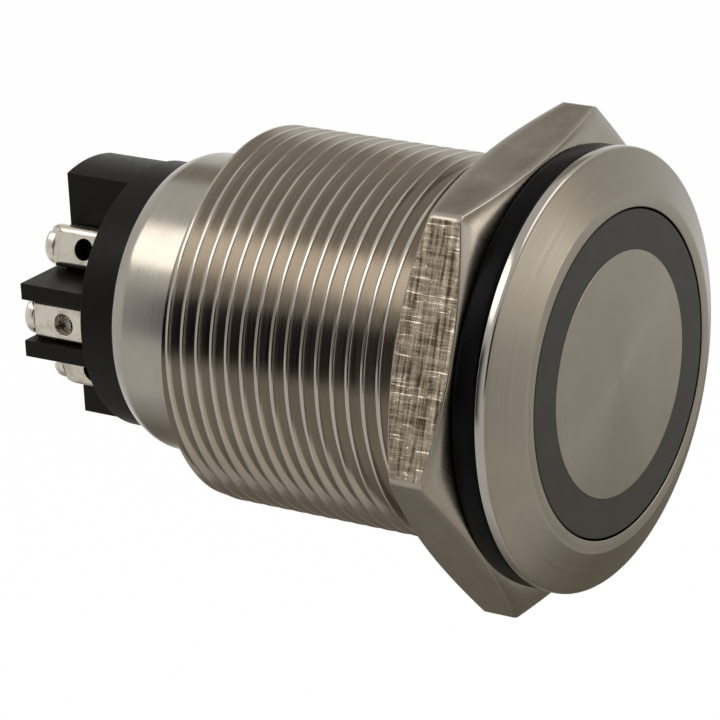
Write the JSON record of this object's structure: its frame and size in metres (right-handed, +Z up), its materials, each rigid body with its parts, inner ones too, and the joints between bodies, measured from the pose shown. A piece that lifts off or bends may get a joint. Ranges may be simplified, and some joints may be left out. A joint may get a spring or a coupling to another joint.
{
  "type": "push button switch",
  "caption": "Round illuminated-ring push button with a threaded metal barrel, gasket, panel nut and screw terminals behind.",
  "frame": {"origin": "on the button's axis, in the plane of the bezel's underside, where the panel or gasket bears", "axes": "+Y along the button's axis from its face to the terminals, +Z up, the button's face looks to -Y"},
  "size_m": [0.028, 0.0362, 0.0278],
  "materials": {
    "stainless": "turned, satin",
    "brushed_cap": "circular brushed",
    "ring_moulding": "smoked translucent, satin",
    "nut_steel": "milled, scratched on one flat",
    "rubber": "matt",
    "black_plastic": "moulded, satin",
    "nickel": "nickel plated",
    "pale_plastic": "moulded",
    "spring_steel": "drawn wire and strip",
    "brass": "stamped",
    "board": "lacquered board",
    "lamp": "clear yellow resin"
  },
  "bodies": {
    "housing": {"bezel_barrel": "stainless", "plunger_seal": "rubber", "return_spring": "spring_steel", "led_board": "board", "leds": "lamp", "led_lead_1": "brass", "led_lead_2": "brass", "contact_housing": "pale_plastic", "carrier_spring": "spring_steel", "fixed_contact_nc_1": "brass", "fixed_contact_nc_2": "brass", "fixed_contact_no_1": "brass", "fixed_contact_no_2": "brass", "switch_base": "black_plastic", "terminal_screws": "nickel", "panel_gasket": "rubber", "terminal_clamp_1": "nickel", "terminal_clamp_2": "nickel", "terminal_clamp_3": "nickel", "terminal_clamp_4": "nickel", "terminal_clamp_5": "nickel", "terminal_clamp_6": "nickel"},
    "button": {"button_cap": "brushed_cap", "light_ring": "ring_moulding", "plunger": "pale_plastic", "retaining_clip": "spring_steel", "contact_carrier": "pale_plastic", "bridge_nc": "brass", "bridge_no": "brass"},
    "nut": {"hex_nut": "nut_steel"}
  },
  "joints": [
    {"name": "button_press", "type": "slide", "parent": "housing", "child": "button", "axis": [0, 1, 0], "range_m": [0, 0.0025], "stiffness_N_per_m": 800, "springref_m": -0.001, "deforming": ["return_spring", "carrier_spring"]},
    {"name": "nut_travel", "type": "slide", "parent": "housing", "child": "nut", "axis": [0, 1, 0], "range_m": [0, 0.012]}
  ]
}
